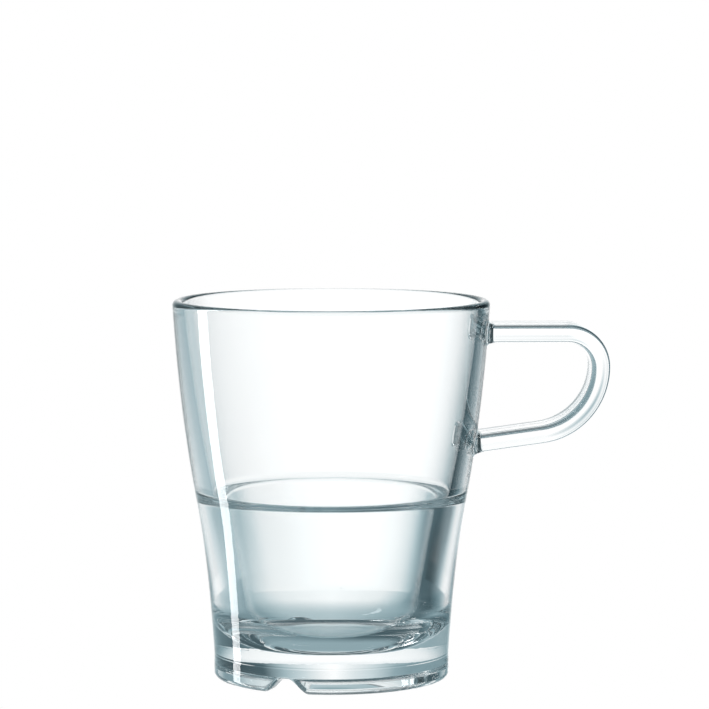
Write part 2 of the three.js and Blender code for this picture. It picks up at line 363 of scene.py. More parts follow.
def make_glow(name, paint):
    """A material that only glows, in the colour that paint makes in its graph."""
    material = bpy.data.materials.new(name)
    material.use_nodes = True
    material.node_tree.nodes.clear()
    graph = Graph(material.node_tree)
    light = graph.add("ShaderNodeEmission", None, {"Color": paint(graph)})
    graph.add("ShaderNodeOutputMaterial", None, {"Surface": light})
    return material


def paint_table(graph):
    """Painted light and shade of the table: one ring near the foot, one farther out, and an even painted
    shadow under the cup.
    """
    place = graph.add("ShaderNodeTexCoord", output="Object")
    parts = graph.add("ShaderNodeSeparateXYZ", None, {"Vector": place})
    reach = graph.add("ShaderNodeVectorMath", {"operation": "LENGTH"}, {0: place}, "Value")
    near = ring_of_screens(parts.output("X"), parts.output("Y"), NEAR_TABLE)
    far = ring_of_screens(parts.output("X"), parts.output("Y"), FAR_TABLE)
    table = mix_colours(fade(reach, NEAR_TO_FAR), near, far)
    return mix_colours(fade(reach, UNDER_SHADOW_RADII), (*cool(UNDER_SHADOW_LEVEL), 1), table)


floor = add_disc("floor", FLOOR_RADIUS, make_glow("floor_white", lambda graph: WHITE))
floor.visible_glossy = False
floor.visible_transmission = False
table = add_disc("table", TABLE_RADIUS, make_glow("table_shades", paint_table))
table.visible_camera = False
table.visible_glossy = False
print("floor and table ready")

# %% [markdown]
# On its way to the camera, light crosses many faces of glass and is mirrored inside the base over and over.
# Each crossing counts as a bounce, so the limits are raised until the base stops turning black.
# The rim carries light round and round like a light guide. Real glass swallows a little on such a long
# way, so the limit for mirrored light stays lower than the others and keeps a dark line in the rim.

# %% Light paths
scene = bpy.context.scene
scene.view_settings.view_transform = "Standard"
scene.cycles.max_bounces = 48
scene.cycles.transmission_bounces = 48
scene.cycles.glossy_bounces = 24
scene.cycles.transparent_max_bounces = 32
print("bounces:", scene.cycles.max_bounces)

# %% [markdown]
# Every piece is clear glass: one Principled shader with full transmission, no roughness, and the index of
# refraction of common glass, 1.52, which sets how strongly it bends light.
# What tells one piece from another is its tint and its relief, the unevenness of its skin, which a bump
# turns into tilted normals. So one function builds the glass and is handed both of them as functions.
# Noise, bands by height and small dots are all that they need.

# %% Glass helpers
GLASS_IOR = 1.52


def noise(place, size, stretch=(1, 1, 1)):
    """Noise around 0 whose lumps are about as large as size, squeezed by stretch along each axis."""
    vector = place.graph.add("ShaderNodeVectorMath", {"operation": "MULTIPLY"}, {0: place, 1: stretch})
    lumps = place.graph.add("ShaderNodeTexNoise", None, {
        "Vector": vector,
        "Scale": 1 / size,
        "Detail": 1.0,
    })
    return lumps - 0.5


def between(height, low, high, soft):
    """A factor of 1 between two heights, which fades to 0 over a soft stretch outside them."""
    return fade(height, (low - soft, low)) * (1 - fade(height, (high, high + soft)))


def speck(place, size, radius, share):
    """A factor of 1 inside small dots: one dot in some of the cells, which are about as large as size."""
    cells = place.graph.add("ShaderNodeTexVoronoi", None, {"Vector": place, "Scale": 1 / size})
    chance = place.graph.add("ShaderNodeSeparateColor", None, {"Color": cells.output("Color")})
    near = place.math("LESS_THAN", cells.output("Distance"), radius / size)
    return near * place.math("LESS_THAN", chance.output("Red"), share)


def make_glass(name, tint, relief, roughness=None):
    """Clear glass. Tint, relief in metres and roughness are functions of a place and its height."""
    material = bpy.data.materials.new(name)
    material.use_nodes = True
    material.node_tree.nodes.clear()
    graph = Graph(material.node_tree)
    place = graph.add("ShaderNodeTexCoord", output="Object")
    height = graph.add("ShaderNodeSeparateXYZ", None, {"Vector": place}).output("Z")
    bump = graph.add("ShaderNodeBump", None, {"Height": relief(place, height), "Distance": 1.0})
    shader = graph.add("ShaderNodeBsdfPrincipled", None, {
        "Base Color": tint(place, height),
        "Roughness": roughness(place, height) if roughness else 0.0,
        "IOR": GLASS_IOR,
        "Transmission Weight": 1.0,
        "Normal": bump,
    })
    graph.add("ShaderNodeOutputMaterial", None, {"Surface": shader})
    return material


print("helpers ready: noise, between, speck, make_glass")

# %% [markdown]
# Pressed glass is clear, but it is never perfect, and the faults are what make it look real.
# Its skin keeps soft waves from the press, sharper ripples where hot glass was forced round the ledge and
# the knee of the well, fine lines near the foot, a thin seam where the parts of the mould met, and a faint
# line below the lip. All of these are far too flat to model, a few hundredths of a millimetre at most, so
# one bump adds up their heights, from noise in the cup's own coordinates.
# A few small bubbles, called seeds, sit in the glass as dark specks, and the foot is worn matt where it
# rubs on tables.

# %% Glass of the body
THIN_TINT = (0.988, 0.993, 0.993, 1)
THICK_TINT = (0.968, 0.985, 0.986, 1)
THICK_TO_THIN = (42 * MM, 50 * MM)
SEED_TINT = (0.35, 0.40, 0.42, 1)
SEED_CELL = 11 * MM
SEED_RADIUS = 0.16 * MM
SEED_SHARE = 0.16

WAVE_SIZE = 10 * MM
WAVE_HEIGHT = 0.006 * MM
RIPPLE_SIZE = 1.7 * MM
RIPPLE_HEIGHT = 0.010 * MM
LEDGE_RIPPLES = (45 * MM, 49 * MM)
KNEE_RIPPLES = (8 * MM, 17 * MM)
RIPPLE_SOFT = 2 * MM
LINE_SIZE = 40 * MM
LINE_SQUEEZE = (1, 1, 70)
LINE_HEIGHT = 0.0016 * MM
FOOT_LINES = (4 * MM, 12 * MM)
SEAM_HEIGHT = 6.5 * MM
SEAM_WIDTH = 0.35 * MM
SEAM_RELIEF = 0.020 * MM
LIP_LINE_HEIGHT = 92.4 * MM
LIP_LINE_WIDTH = 0.5 * MM
LIP_LINE_RELIEF = 0.012 * MM
WORN_HEIGHT = (0.05 * MM, 0.25 * MM)
WORN_ROUGHNESS = 0.3


def body_tint(place, height):
    """Slightly darker glass in the thick lower half, with seeds."""
    clear = mix_colours(fade(height, THICK_TO_THIN), THICK_TINT, THIN_TINT)
    return mix_colours(speck(place, SEED_CELL, SEED_RADIUS, SEED_SHARE), clear, SEED_TINT)


def body_relief(place, height):
    """Sum of the waves, ripples and lines that the press and the mould left."""
    pressed = between(height, *LEDGE_RIPPLES, RIPPLE_SOFT) + between(height, *KNEE_RIPPLES, RIPPLE_SOFT)
    waves = WAVE_HEIGHT * noise(place, WAVE_SIZE)
    ripples = RIPPLE_HEIGHT * pressed * noise(place, RIPPLE_SIZE)
    lines = LINE_HEIGHT * between(height, *FOOT_LINES, RIPPLE_SOFT) * noise(place, LINE_SIZE, LINE_SQUEEZE)
    seam = SEAM_RELIEF * between(height, SEAM_HEIGHT, SEAM_HEIGHT, SEAM_WIDTH)
    lip = LIP_LINE_RELIEF * between(height, LIP_LINE_HEIGHT, LIP_LINE_HEIGHT, LIP_LINE_WIDTH)
    return waves + ripples + lines + seam + lip


def worn_foot(place, height):
    """Matt where the cup rubs on tables."""
    return WORN_ROUGHNESS * (1 - fade(height, WORN_HEIGHT))


pressed_glass = make_glass("pressed_glass", body_tint, body_relief, worn_foot)
print("body glass ready")

# %% [markdown]
# The strap was drawn out while it was soft, so its waves are longer and gentler than those of the body.
# Where it was fused on, the skin of the seats stayed uneven. Light bent through the tight waist of the joint
# meets dark places and shows a dark band there, which is painted into the glass of the seats as a dark tint:
# a painted shade.
# Inside a fused joint there is no face at all: light passes from one piece of glass into the next without
# bending. The pieces stay separate meshes, so their touching faces get a material that is fully see-through.

# %% Glass of the handle
DRAWN_SIZE = 14 * MM
DRAWN_HEIGHT = 0.008 * MM
FUSED_SIZE = 2.5 * MM
FUSED_HEIGHT = 0.012 * MM
SEAT_REACH = "seat_reach"
# The joint's dark band is a painted shade: a dark tint where the bent light would see dark places.
JOINT_SHADE_REACH = (0.40, 0.60)
JOINT_SHADE_SOFT = 0.10
JOINT_SHADE_TINT = (0.014, 0.022, 0.025, 1)


def strap_tint(place, height):
    """Thin clear glass with seeds."""
    return mix_colours(speck(place, SEED_CELL, SEED_RADIUS, SEED_SHARE), THIN_TINT, SEED_TINT)


def strap_relief(place, height):
    """Long waves of drawn glass."""
    return DRAWN_HEIGHT * noise(place, DRAWN_SIZE)


def seat_tint_and_shade(place, height):
    """Clear at both ends of the seat, with a painted shade between them: the dark band of the joint, painted
    as a tint.
    """
    reach = place.graph.add("ShaderNodeAttribute", {"attribute_name": SEAT_REACH}, output="Fac")
    return mix_colours(between(reach, *JOINT_SHADE_REACH, JOINT_SHADE_SOFT), THIN_TINT, JOINT_SHADE_TINT)


def seat_relief(place, height):
    """Short lumps of fused glass."""
    return FUSED_HEIGHT * noise(place, FUSED_SIZE)


def make_join():
    """Glass for faces inside a joint, which lets light pass without bending."""
    material = bpy.data.materials.new("fused_glass")
    material.use_nodes = True
    material.node_tree.nodes.clear()
    graph = Graph(material.node_tree)
    shader = graph.add("ShaderNodeBsdfPrincipled", None, {
        "Base Color": WHITE,
        "Roughness": 0.0,
        "IOR": GLASS_IOR,
        "Transmission Weight": 1.0,
        "Alpha": 0.0,
    })
    graph.add("ShaderNodeOutputMaterial", None, {"Surface": shader})
    return material


handle_glass = make_glass("handle_glass", strap_tint, strap_relief)
seat_glass = make_glass("seat_glass", seat_tint_and_shade, seat_relief)
fused_glass = make_join()
print("handle, seat and fused glass ready")

# %% [markdown]
# The body is the pressed piece: a thin upper bowl, a ledge that another cup can stand on, a narrow well
# and a thick base. A mould shapes its outside and a plunger its inside, so the two sides are different
# curves, and both are written down here.
# The outside is an S through three stations, the foot, the waist and the rim. Each has a height, a radius
# and a draft, which is the slope of the wall there, and a cubic joins them without a kink.

# %% Body sizes
body_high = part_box("cup_body")[1]
CUP_HEIGHT = body_high.z
RIM_RADIUS = body_high.y
RIM_DRAFT = 0.06
WAIST_HEIGHT = 44 * MM
WAIST_RADIUS = 33.87 * MM
WAIST_DRAFT = 0.19
FOOT_RADIUS = 29.7 * MM
FOOT_BAND = 6.5 * MM
FOOT_DRAFT = 0.07
RIM_WALL = 2.7 * MM
LEDGE_WALL = 4.4 * MM
LEDGE_HEIGHT = 46.4 * MM
LEDGE_FILLET = 2.2 * MM
LEDGE_LIP = 1.1 * MM
WELL_MOUTH_RADIUS = 26.5 * MM
WELL_BASE_RADIUS = 20.4 * MM
WELL_KNEE_ROUND = 13 * MM
WELL_FLOOR_HEIGHT = 8.4 * MM
FOOT_EDGE = 1.7 * MM
FOOT_INNER_EDGE = 0.7 * MM
RECESS_RADIUS = 25 * MM
RECESS_DEPTH = 3.4 * MM
RECESS_CROWN = 0.4 * MM
RECESS_ROUND = 1.5 * MM
LIP_BASE = CUP_HEIGHT - RIM_WALL / 2


def blend_stations(z, low, high):
    """Cubic through two wall stations, each given as height, radius and draft."""
    rise = high[0] - low[0]
    t = (z - low[0]) / rise
    from_low = (2 * t**3 - 3 * t**2 + 1) * low[1] + (t**3 - 2 * t**2 + t) * rise * low[2]
    from_high = (3 * t**2 - 2 * t**3) * high[1] + (t**3 - t**2) * rise * high[2]
    return from_low + from_high


def outer_radius(z):
    """Radius of the outside at a height."""
    foot = (FOOT_BAND, FOOT_RADIUS, FOOT_DRAFT)
    waist = (WAIST_HEIGHT, WAIST_RADIUS, WAIST_DRAFT)
    rim = (LIP_BASE, RIM_RADIUS, RIM_DRAFT)
    if z <= FOOT_BAND:
        return FOOT_RADIUS
    if z <= WAIST_HEIGHT:
        return blend_stations(z, foot, waist)
    return blend_stations(z, waist, rim)


def bowl_radius(z):
    """Radius of the upper bowl's inside at a height: the wall grows evenly from the rim to the ledge."""
    down = (LIP_BASE - z) / (LIP_BASE - LEDGE_HEIGHT)
    return outer_radius(z) - (RIM_WALL + (LEDGE_WALL - RIM_WALL) * down)


print("wall at the rim and above the ledge, mm:", round(RIM_WALL / MM, 2), round(LEDGE_WALL / MM, 2))

# %% [markdown]
# Pressed glass has no sharp edges: the ledge, the well and the foot all turn through arcs.
# So two helpers are needed, one that divides a line and one that rounds a corner with a true arc.
# Points are crowded towards the ends of straight stretches, because in clear glass an uneven facet shows
# as a streak.

# %% Lines and arcs
LINE_STEP = 2.4 * MM
LINE_CROWDING = 0.85
ARC_STEP = math.radians(6)
CLOSE_POINTS = 0.02 * MM


def line_shares(length, step=LINE_STEP):
    """Places along a line from 0 to 1, crowded towards its ends so that shading turns cleanly into arcs."""
    steps = max(2, math.ceil(length / step))
    even = [i / steps for i in range(steps + 1)]
    return [t - LINE_CROWDING * math.sin(2 * math.pi * t) / (2 * math.pi) for t in even]


def wall_points(radius_at, start, end, step=LINE_STEP):
    """Points of a curved wall between two heights."""
    heights = [start + (end - start) * share for share in line_shares(abs(end - start), step)]
    return [Vector((radius_at(z), z)) for z in heights]


def round_corner(before, corner, after, radius):
    """Arc that rounds the corner between the lines to its two neighbours."""
    back = (before - corner).normalized()
    on = (after - corner).normalized()
    half = back.angle(on) / 2
    centre = corner + (back + on).normalized() * (radius / math.sin(half))
    first = corner + back * (radius / math.tan(half)) - centre
    sweep = math.pi - 2 * half
    if back.x * on.y - back.y * on.x > 0:
        sweep = -sweep
    steps = max(3, math.ceil(abs(sweep) / ARC_STEP))
    arc = []
    for i in range(steps + 1):
        turn = sweep * i / steps
        arc.append(centre + Vector((
            first.x * math.cos(turn) - first.y * math.sin(turn),
            first.x * math.sin(turn) + first.y * math.cos(turn),
        )))
    return arc


def fill_lines(points):
    """The same outline without double points, and with long straight stretches divided."""
    filled = [points[0]]
    for point in points[1:]:
        start = filled[-1]
        gap = (point - start).length
        if gap > 2 * LINE_STEP:
            filled += [start.lerp(point, share) for share in line_shares(gap)[1:]]
        elif gap > CLOSE_POINTS:
            filled.append(point)
    return filled


print("helpers ready: line_shares, wall_points, round_corner, fill_lines")

# %% [markdown]
# The outline walks once around half of the section: from under the middle out over the foot, up the wall,
# over the lip, which is a full round, and down inside to the floor of the well.
# The wall that carries the handle is divided more finely, so that the seats fit it closely.

# %% Body outline
SEAT_WALL_STEP = 1.1 * MM
SEAT_WALL_HEIGHT = 52 * MM
LIP_STEPS = 22


def body_outline():
    """Half of the cup's section, from under the middle, out and up the wall, and down inside."""
    recess_top = Vector((0, RECESS_DEPTH + RECESS_CROWN))
    recess_corner = Vector((RECESS_RADIUS - FOOT_INNER_EDGE, RECESS_DEPTH))
    foot_inside = Vector((RECESS_RADIUS, 0))
    foot_outside = Vector((FOOT_RADIUS, 0))
    band_top = Vector((FOOT_RADIUS, FOOT_BAND))
    fillet_top = LEDGE_HEIGHT + LEDGE_FILLET
    above_fillet = Vector((bowl_radius(fillet_top), fillet_top))
    ledge_corner = Vector((bowl_radius(LEDGE_HEIGHT), LEDGE_HEIGHT))
    well_mouth = Vector((WELL_MOUTH_RADIUS, LEDGE_HEIGHT))
    well_knee = Vector((WELL_BASE_RADIUS, WELL_FLOOR_HEIGHT))
    well_floor = Vector((0, WELL_FLOOR_HEIGHT))
    fillet = round_corner(above_fillet, ledge_corner, well_mouth, LEDGE_FILLET)
    lip = [
        Vector((RIM_RADIUS - RIM_WALL / 2 * (1 - math.cos(turn)), LIP_BASE + RIM_WALL / 2 * math.sin(turn)))
        for turn in [math.pi * i / LIP_STEPS for i in range(LIP_STEPS + 1)]
    ]
    return fill_lines([
        recess_top,
        *round_corner(recess_top, recess_corner, foot_inside, RECESS_ROUND),
        *round_corner(recess_corner, foot_inside, foot_outside, FOOT_INNER_EDGE),
        *round_corner(foot_inside, foot_outside, band_top, FOOT_EDGE),
        *wall_points(outer_radius, FOOT_BAND, SEAT_WALL_HEIGHT),
        *wall_points(outer_radius, SEAT_WALL_HEIGHT, LIP_BASE, SEAT_WALL_STEP),
        *lip,
        *wall_points(bowl_radius, LIP_BASE, fillet[0].y),
        *fillet,
        *round_corner(ledge_corner, well_mouth, well_knee, LEDGE_LIP),
        *round_corner(well_mouth, well_knee, well_floor, WELL_KNEE_ROUND),
        well_floor,
    ])


outline = body_outline()
print("outline points:", len(outline))

# %% [markdown]
# A Geometry Nodes tree works on a start mesh and gives back a new one. Here the start is a plain row of
# points, and the tree's result is kept as a mesh at once, so that nothing later depends on a modifier.
# A tree can leave faces that look inwards. For glass that matters a great deal, because the renderer tells
# the inside from the outside by the side that a face shows, so every finished mesh is turned right side
# out and tested for open edges.


# %% Tree helpers
def new_tree(name, inputs):
    """A Geometry Nodes tree with a Geometry input and output and the named inputs."""
    tree = bpy.data.node_groups.new(name, "GeometryNodeTree")
    tree.interface.new_socket("Geometry", in_out="INPUT", socket_type="NodeSocketGeometry")
    for label, kind in inputs:
        tree.interface.new_socket(label, in_out="INPUT", socket_type=kind)
    tree.interface.new_socket("Geometry", in_out="OUTPUT", socket_type="NodeSocketGeometry")
    return tree


def line_object(name, points):
    """A mesh of points joined in a row, as the start of a tree."""
    mesh = bpy.data.meshes.new(name)
    edges = [(i, i + 1) for i in range(len(points) - 1)]
    mesh.from_pydata(points, edges, [])
    item = bpy.data.objects.new(name, mesh)
    bpy.context.scene.collection.objects.link(item)
    return item


def grow(item, tree, values):
    """Runs the tree on the object, and keeps the result as a plain mesh."""
    modifier = item.modifiers.new(tree.name, "NODES")
    modifier.node_group = tree
    sockets = {s.name: s.identifier for s in tree.interface.items_tree if s.in_out == "INPUT"}
    for label, value in values.items():
        modifier[sockets[label]] = value
    shown = item.evaluated_get(bpy.context.evaluated_depsgraph_get())
    result = bpy.data.meshes.new_from_object(shown)
    item.modifiers.remove(modifier)
    item.data = result
    return item


def face_outwards(item):
    """Turns a closed mesh right side out, and says what it holds."""
    shape = bmesh.new()
    shape.from_mesh(item.data)
    bmesh.ops.recalc_face_normals(shape, faces=shape.faces)
    if shape.calc_volume(signed=True) < 0:
        bmesh.ops.reverse_faces(shape, faces=shape.faces)
    open_edges = sum(1 for edge in shape.edges if not edge.is_manifold)
    volume = shape.calc_volume() / MM**3 / 1000
    shape.to_mesh(item.data)
    shape.free()
    print(item.name, len(item.data.polygons), "faces,", round(volume, 1), "cm3,", open_edges, "open edges")


print("helpers ready: new_tree, line_object, grow, face_outwards")

# %% [markdown]
# The cup is round, so one outline and one rule make it, and a rule is what Geometry Nodes are for.
# Each point of a grid gets an angle from its column, and a radius and a height from its row.
# The same rule makes the drain notches, which let rinsing water out of the hollow foot: near a notch the
# foot's points are lifted, most of all at the bottom, so the glass stays one closed skin and nothing has
# to be cut.


# %% Places and notches
def grid_spots(graph, given):
    """Angle, radius and height for each point of a grid with one row for each point of the outline."""
    count = given.output("Outline Points")
    index = graph.add("GeometryNodeInputIndex")
    row = index.math("FLOORED_MODULO", index, count)
    column = index.math("FLOOR", (index - row + 0.5) / count)
    angle = column * (2 * math.pi) / given.output("Turn Steps")
    spot = graph.add("GeometryNodeSampleIndex", {"data_type": "FLOAT_VECTOR"}, {
        "Geometry": given,
        "Value": graph.add("GeometryNodeInputPosition"),
        "Index": row,
    })
    parts = graph.add("ShaderNodeSeparateXYZ", None, {"Vector": spot})
    return angle, parts.output("X"), parts.output("Z")


def raise_notches(graph, given, angle, radius, height):
    """Heights with the foot lifted at three notches: one at the notch turn, one a spread to each side."""
    first = angle + math.pi / 2 + given.output("Notch Turn")
    turns = [first] + [first + side * given.output("Notch Spread") for side in (-1, 1)]
    aside = None
    for turn in turns:
        distance = 2 * radius * angle.math("ABSOLUTE", angle.math("SINE", turn / 2))
        aside = angle.math("MINIMUM", aside, distance) if aside else distance
    lift = graph.add("ShaderNodeMapRange", {"interpolation_type": "SMOOTHSTEP"}, {
        "Value": aside,
        "From Min": given.output("Notch Flat") / 2,
        "From Max": given.output("Notch Width") / 2,
        "To Min": given.output("Notch Height"),
        "To Max": 0.0,
    })
    recess = given.output("Recess Depth")
    outside = angle.math("GREATER_THAN", radius, given.output("Ring Radius"))
    reach = recess + outside * (given.output("Foot Band") - recess)
    return height + lift * angle.math("MAXIMUM", 1 - height / reach, 0.0)


print("helpers ready: grid_spots, raise_notches")

# %% [markdown]
# The tree lays out the grid, moves its points to their places, joins the skin where the turn closes, and
# gives the result its glass. Each size is a named input, so the tree can also make a cup with other
# notches. The last three nodes are the same for every tree here, so they have a function of their own.

# %% Turning tree
MERGE_DISTANCE = 0.0005 * MM
TURNING_INPUTS = [
    ("Outline Points", "NodeSocketInt"),
    ("Turn Steps", "NodeSocketInt"),
    ("Notch Width", "NodeSocketFloat"),
    ("Notch Flat", "NodeSocketFloat"),
    ("Notch Height", "NodeSocketFloat"),
    ("Notch Turn", "NodeSocketFloat"),
    ("Notch Spread", "NodeSocketFloat"),
    ("Foot Band", "NodeSocketFloat"),
    ("Recess Depth", "NodeSocketFloat"),
    ("Ring Radius", "NodeSocketFloat"),
    ("Material", "NodeSocketMaterial"),
]


def finish_tree(graph, given, geometry):
    """Ends a tree with smooth shading, real geometry and the material that was given."""
    smooth = graph.add("GeometryNodeSetShadeSmooth", None, {"Geometry": geometry})
    real = graph.add("GeometryNodeRealizeInstances", None, {"Geometry": smooth})
    dressed = graph.add("GeometryNodeSetMaterial", None, {
        "Geometry": real,
        "Material": given.output("Material"),
    })
    graph.add("NodeGroupOutput", None, {"Geometry": dressed})


def turning_tree():
    """Turns the incoming row of points round the Z axis and lifts the foot at each notch."""
    tree = new_tree("turned_body", TURNING_INPUTS)
    graph = Graph(tree)
    given = graph.add("NodeGroupInput", output="Geometry")
    grid = graph.add("GeometryNodeMeshGrid", None, {
        "Size X": 1.0,
        "Size Y": 1.0,
        "Vertices X": given.output("Turn Steps") + 1,
        "Vertices Y": given.output("Outline Points"),
    })
    angle, radius, height = grid_spots(graph, given)
    turned = graph.add("ShaderNodeCombineXYZ", None, {
        "X": radius * angle.math("COSINE", angle),
        "Y": radius * angle.math("SINE", angle),
        "Z": raise_notches(graph, given, angle, radius, height),
    })
    moved = graph.add("GeometryNodeSetPosition", None, {"Geometry": grid, "Position": turned})
    closed = graph.add("GeometryNodeMergeByDistance", None, {"Geometry": moved, "Distance": MERGE_DISTANCE})
    finish_tree(graph, given, closed)
    return tree


print("turning tree:", len(TURNING_INPUTS), "named inputs")

# %% [markdown]
# Now the tree gets its sizes. 400 columns make facets that are too narrow to see, even in a mirror image.
# One notch shows at the front left of the foot. The other two lie a little more than a third of a turn to
# each side of it, which leaves three broad stretches of ring for the cup to stand on.

# %% Turn the outline
TURN_STEPS = 400
NOTCH_WIDTH = 12 * MM
NOTCH_FLAT = 1.6 * MM
NOTCH_HEIGHT = 3.6 * MM
NOTCH_TURN = math.radians(25)
NOTCH_SPREAD = math.radians(132)

body = line_object("pressed_body", [(p.x, 0, p.y) for p in outline])
grow(body, turning_tree(), {
    "Outline Points": len(outline),
    "Turn Steps": TURN_STEPS,
    "Notch Width": NOTCH_WIDTH,
    "Notch Flat": NOTCH_FLAT,
    "Notch Height": NOTCH_HEIGHT,
    "Notch Turn": NOTCH_TURN,
    "Notch Spread": NOTCH_SPREAD,
    "Foot Band": FOOT_BAND,
    "Recess Depth": RECESS_DEPTH,
    "Ring Radius": (FOOT_RADIUS + RECESS_RADIUS) / 2,
    "Material": pressed_glass,
})
face_outwards(body)

# %% [markdown]
# The handle is a flat strap of glass, drawn out and bent to a D while it was soft.
# Its middle line has four stretches: a level bar, a tight shoulder, a wide elbow and a lower bar that
# slopes down to the wall. The two arcs meet where the line is upright, so the bend has no kink.
# The wall slopes, so how far each bar runs is found in a few tries, and each try corrects the last one.

# %% Handle sizes
handle_low, handle_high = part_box("handle")
STRAP_THICKNESS = 4.6 * MM
STRAP_DEPTH = handle_high.y - handle_low.y
STRAP_CORNER = 1.7 * MM
HANDLE_TOP = handle_high.z - STRAP_THICKNESS / 2
HANDLE_REACH = handle_high.x - STRAP_THICKNESS / 2
SHOULDER_RADIUS = 8.4 * MM
ELBOW_RADIUS = 17.2 * MM
LOWER_BAR_SLOPE = math.radians(7.8)
SEAT_LENGTH = 1.5 * MM
SEAT_FLARE = 1.0 * MM
BEND_STEP = math.radians(2.5)
WALL_TRIES = 12

turn_height = HANDLE_TOP - SHOULDER_RADIUS
shoulder_centre = Vector((HANDLE_REACH - SHOULDER_RADIUS, 0, turn_height))
elbow_centre = Vector((HANDLE_REACH - ELBOW_RADIUS, 0, turn_height))


def arc_points(centre, radius, start, end):
    """Points of an arc in the handle's plane, from one angle to another."""
    steps = math.ceil(abs(end - start) / BEND_STEP)
    turns = [start + (end - start) * i / steps for i in range(steps + 1)]
    return [centre + Vector((math.cos(t), 0, math.sin(t))) * radius for t in turns]


def run_to_wall(start, direction):
    """How far a line runs from a start point along a direction before it meets the body."""
    run = 0
    for _ in range(WALL_TRIES):
        wall = outer_radius(start.z + run * direction.z)
        run = (math.sqrt(wall**2 - start.y**2) - start.x) / direction.x
    return run


shoulder = arc_points(shoulder_centre, SHOULDER_RADIUS, math.pi / 2, 0)
elbow = arc_points(elbow_centre, ELBOW_RADIUS, 0, LOWER_BAR_SLOPE - math.pi / 2)
upper_bar = (shoulder[0], Vector((-1, 0, 0)))
lower_bar = (elbow[-1], Vector((-math.cos(LOWER_BAR_SLOPE), 0, -math.sin(LOWER_BAR_SLOPE))))


def bar_end(bar):
    """Where a bar of the strap ends and its seat begins."""
    start, direction = bar
    return start + direction * (run_to_wall(start, direction) - SEAT_LENGTH)


handle_line = [bar_end(upper_bar), *shoulder, *elbow[1:], bar_end(lower_bar)]
print("handle line:", len(handle_line), "points")

# %% [markdown]
# A strap is one section carried along a line, so a tree with Curve to Mesh makes it.
# The section is a rectangle with rounded corners. The corners bend the dark screens into view and draw
# the thin lines that run along each bar, so their radius matters more than anything else here.
# Caps close the strap, because light only bends rightly in a closed piece of glass.

# %% Handle strap
CORNER_STEPS = 8
SECTION_POINTS = 120


def strap_tree():
    """Carries a rounded rectangle along the incoming row of points."""
    tree = new_tree("strap", [
        ("Thickness", "NodeSocketFloat"),
        ("Depth", "NodeSocketFloat"),
        ("Corner", "NodeSocketFloat"),
        ("Section Points", "NodeSocketInt"),
        ("Material", "NodeSocketMaterial"),
    ])
    graph = Graph(tree)
    given = graph.add("NodeGroupInput", output="Geometry")
    line = graph.add("GeometryNodeMeshToCurve", None, {"Mesh": given})
    section = graph.add("GeometryNodeCurvePrimitiveQuadrilateral", None, {
        "Width": given.output("Depth"),
        "Height": given.output("Thickness"),
    })
    rounded = graph.add("GeometryNodeFilletCurve", {"mode": "POLY"}, {
        "Curve": section,
        "Count": CORNER_STEPS,
        "Radius": given.output("Corner"),
    })
    even = graph.add("GeometryNodeResampleCurve", None, {
        "Curve": rounded,
        "Count": given.output("Section Points"),
    })
    strap = graph.add("GeometryNodeCurveToMesh", None, {
        "Curve": line,
        "Profile Curve": even,
        "Fill Caps": True,
    })
    finish_tree(graph, given, strap)
    return tree


handle = line_object("strap_handle", handle_line)
grow(handle, strap_tree(), {
    "Thickness": STRAP_THICKNESS,
    "Depth": STRAP_DEPTH,
    "Corner": STRAP_CORNER,
    "Section Points": SECTION_POINTS,
    "Material": handle_glass,
})
face_outwards(handle)

# %% [markdown]
# Where the soft strap was pressed against the wall, glass was pushed out into a small collar, the seat.
# It starts with the strap's own section and grows wider towards the wall, so the section is written here
# with a margin. Its long sides are divided finely, because each of their points meets the round wall at
# another depth.

# %% Seat sections
LONG_SIDE = 6 * MM
LONG_SIDE_STEPS = 20
SHORT_SIDE = 1 * MM
SHORT_SIDE_STEPS = 3


def strap_section(margin):
    """Points round the strap's section, grown by a margin: across the thickness, and across the depth."""
    half_x = STRAP_THICKNESS / 2 + margin
    half_y = STRAP_DEPTH / 2 + margin
    corner = STRAP_CORNER + margin
    points = []
    for quarter, (sign_x, sign_y) in enumerate([(1, 1), (-1, 1), (-1, -1), (1, -1)]):
        for i in range(CORNER_STEPS + 1):
            turn = (quarter + i / CORNER_STEPS) * math.pi / 2
            points.append(Vector((
                sign_x * (half_x - corner) + corner * math.cos(turn),
                sign_y * (half_y - corner) + corner * math.sin(turn),
            )))
    return points


def side_steps(gap):
    """How often a side of the section is divided. A step round a corner stays whole."""
    if gap > LONG_SIDE:
        return LONG_SIDE_STEPS
    return SHORT_SIDE_STEPS if gap > SHORT_SIDE else 1


def seat_spots(margin):
    """The section with its sides divided."""
    corners = strap_section(margin)
    spots = []
    for here, there in zip(corners, corners[1:] + corners[:1]):
        steps = side_steps((there - here).length)
        spots += [here.lerp(there, i / steps) for i in range(steps)]
    return spots


print("points round a seat:", len(seat_spots(0)))

# %% [markdown]
# Each seat is built ring by ring. The rings widen along a quarter of a circle until they lie on the round
# wall, and smaller rings then close the face that touches it. A loop suits this better than a tree,
# because every point has its own way to go before it meets the wall.
# Each ring also stores how far along the seat it lies, which places the painted shade, the dark band of the
# joint.

# %% Seats
SEAT_STEPS = 24
WALL_FACE_RINGS = (0.75, 0.5, 0.25)


